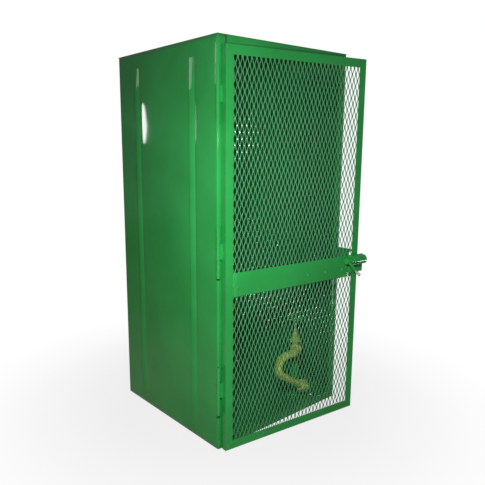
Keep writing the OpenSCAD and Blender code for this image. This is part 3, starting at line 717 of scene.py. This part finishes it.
def flat_bar(name, node, seed):
    """A rolled bar of the door with eased edges and a trace of bow, in place of a node."""
    rng = random.Random(seed)
    phase = [rng.uniform(0, 2 * math.pi) for _ in range(3)]
    x0, y0, z0, x1, y1, z1 = door_box(node)
    ring = bar_ring(y0, z0, y1, z1)
    verts = []
    for k in range(BAR_STEPS + 1):
        x = x0 + (x1 - x0) * k / BAR_STEPS
        bow, other_bow, tilt = (depth * math.sin(x / length + p)
                                for (depth, length), p in zip((*BOWS, TILT), phase))
        verts += [door(x, y + bow + other_bow + tilt * (z - z0) / (z1 - z0), z) for y, z in ring]
    faces = tube_faces(0, BAR_STEPS + 1, len(ring))
    ob = piece(name, verts, faces, "door", GREEN)
    for k in range(BAR_STEPS * len(ring)):
        ob.data.polygons[k].use_smooth = True
    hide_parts(node)


flat_bar("rail_bar", "middle_rail", 41)
flat_bar("clamping_bar", "mesh_backing_bar", 42)

# ---- Floor, light and camera. In metres and watts ----
FLOOR_HALF, FLOOR_DROP = 6.0, 0.0005
WHITE = (1, 1, 1, 1)


def floor_paint():
    """A pale diffuse floor, over which the camera sees white and paint mirrors a dim green glow, a painted
    reflection low on the cabinet's sides.
    """
    p = Paint("pale_floor")
    p.tree.nodes.remove(p.bsdf)
    rays = p.node("ShaderNodeLightPath").outputs
    diffuse = p.node("ShaderNodeBsdfDiffuse")
    diffuse.inputs["Color"].default_value = (0.30, 0.30, 0.295, 1)
    # The share of white that the camera sees: less near the cabinet, so that its shadow shows
    seen = p.spread(p.distance((0, 0, 0)), 0.82, 1.0, 0.45, 1.5, "SMOOTHSTEP")
    # The share that paint mirrors, a painted reflection: most at the cabinet's rear left foot
    mirrored_glow_share = p.spread(p.distance((-0.7, 0.5, 0)), 0.36, 0.175, 0.1, 1.1, "SMOOTHSTEP")
    mirrored = p.math("MULTIPLY", rays["Is Glossy Ray"], mirrored_glow_share)
    glow = p.node("ShaderNodeEmission")
    # Paint mirrors a yellowish green glow, a painted reflection; the camera sees white
    p.feed(glow.inputs["Color"], p.mixed(rays["Is Camera Ray"], (0.85, 1.0, 0.6, 1), WHITE))
    mix = p.node("ShaderNodeMixShader")
    p.feed(mix.inputs[0], p.math("MULTIPLY_ADD", rays["Is Camera Ray"], seen, mirrored))
    p.feed(mix.inputs[1], diffuse.outputs[0])
    p.feed(mix.inputs[2], glow.outputs[0])
    p.feed(p.tree.nodes["Material Output"].inputs["Surface"], mix.outputs[0])
    return p.mat


def floor():
    h = FLOOR_HALF
    mesh = bpy.data.meshes.new("floor")
    mesh.from_pydata([(-h, -h, 0), (h, -h, 0), (h, h, 0), (-h, h, 0)], [], [(0, 1, 2, 3)])
    mesh.materials.append(floor_paint())
    ob = bpy.data.objects.new("floor", mesh)
    bpy.context.scene.collection.objects.link(ob)
    ob.location.z = -FLOOR_DROP


def world(level, mirrored_level):
    """A pale room: level is its light, paint mirrors mirrored_level, and the camera sees white."""
    w = bpy.data.worlds.new("studio")
    bpy.context.scene.world = w
    w.use_nodes = True
    n = Nodes(w.node_tree)
    rays = n.node("ShaderNodeLightPath").outputs
    shiny = n.math("MAXIMUM", rays["Is Glossy Ray"], rays["Is Transmission Ray"])
    strength = n.spread(shiny, level, mirrored_level, 0.0, 1.0)
    back = w.node_tree.nodes["Background"]
    back.inputs["Color"].default_value = WHITE
    n.feed(back.inputs["Strength"], n.math("MAXIMUM", rays["Is Camera Ray"], strength))


def lamp(name, place, target, size, watts, shiny=True, lights=True, shape="RECTANGLE"):
    """A softbox. Without shiny, paint doesn't mirror it; without lights, paint only mirrors it."""
    data = bpy.data.lights.new(name, "AREA")
    data.shape = shape
    data.size, data.size_y = size
    data.energy = watts
    ob = bpy.data.objects.new(name, data)
    bpy.context.scene.collection.objects.link(ob)
    ob.location = place
    ob.rotation_euler = (Vector(target) - Vector(place)).to_track_quat("-Z", "Y").to_euler()
    ob.visible_camera = False
    ob.visible_glossy = shiny
    ob.visible_diffuse = lights


def camera():
    data = bpy.data.cameras.new("camera")
    data.lens = 39.2811
    data.shift_x, data.shift_y = 0.069949, 0.0037125
    ob = bpy.data.objects.new("camera", data)
    bpy.context.scene.collection.objects.link(ob)
    ob.location = (-1.70952, -1.92586, 1.26887)
    ob.rotation_euler = [math.radians(a) for a in (79.42493, 0.28112, -39.23674)]
    bpy.context.scene.camera = ob


floor()
world(0.04, 0.22)
lamp("main_softbox", (-1.107, -1.260, 1.400), (-0.056, -0.60, 0.20), (0.28, 0.28), 32.0, shiny=False)
lamp("flash", (-1.66, -1.97, 1.31), (-0.1, -0.2, 1.0), (0.14, 0.14), 4.9, lights=False)
lamp("side_softbox", (-0.916, 1.006, 1.407), (-0.387, 0.168, 1.366), (0.055, 0.25), 0.42, lights=False,
     shape="ELLIPSE")
lamp("ceiling_softbox", (-2.40, 1.39, 1.96), (-0.387, -0.203, 1.57), (0.75, 0.33), 2.1, lights=False)
lamp("right_softbox", (1.41, -1.48, 0.12), (0.36, -0.50, 0.75), (0.2, 0.25), 3.5, lights=False)
lamp("back_fill", (1.9, 2.4, 1.7), (0.1, 0.1, 0.9), (1.6, 1.6), 60.0, shiny=False)
camera()
bpy.context.scene.view_settings.view_transform = "Standard"
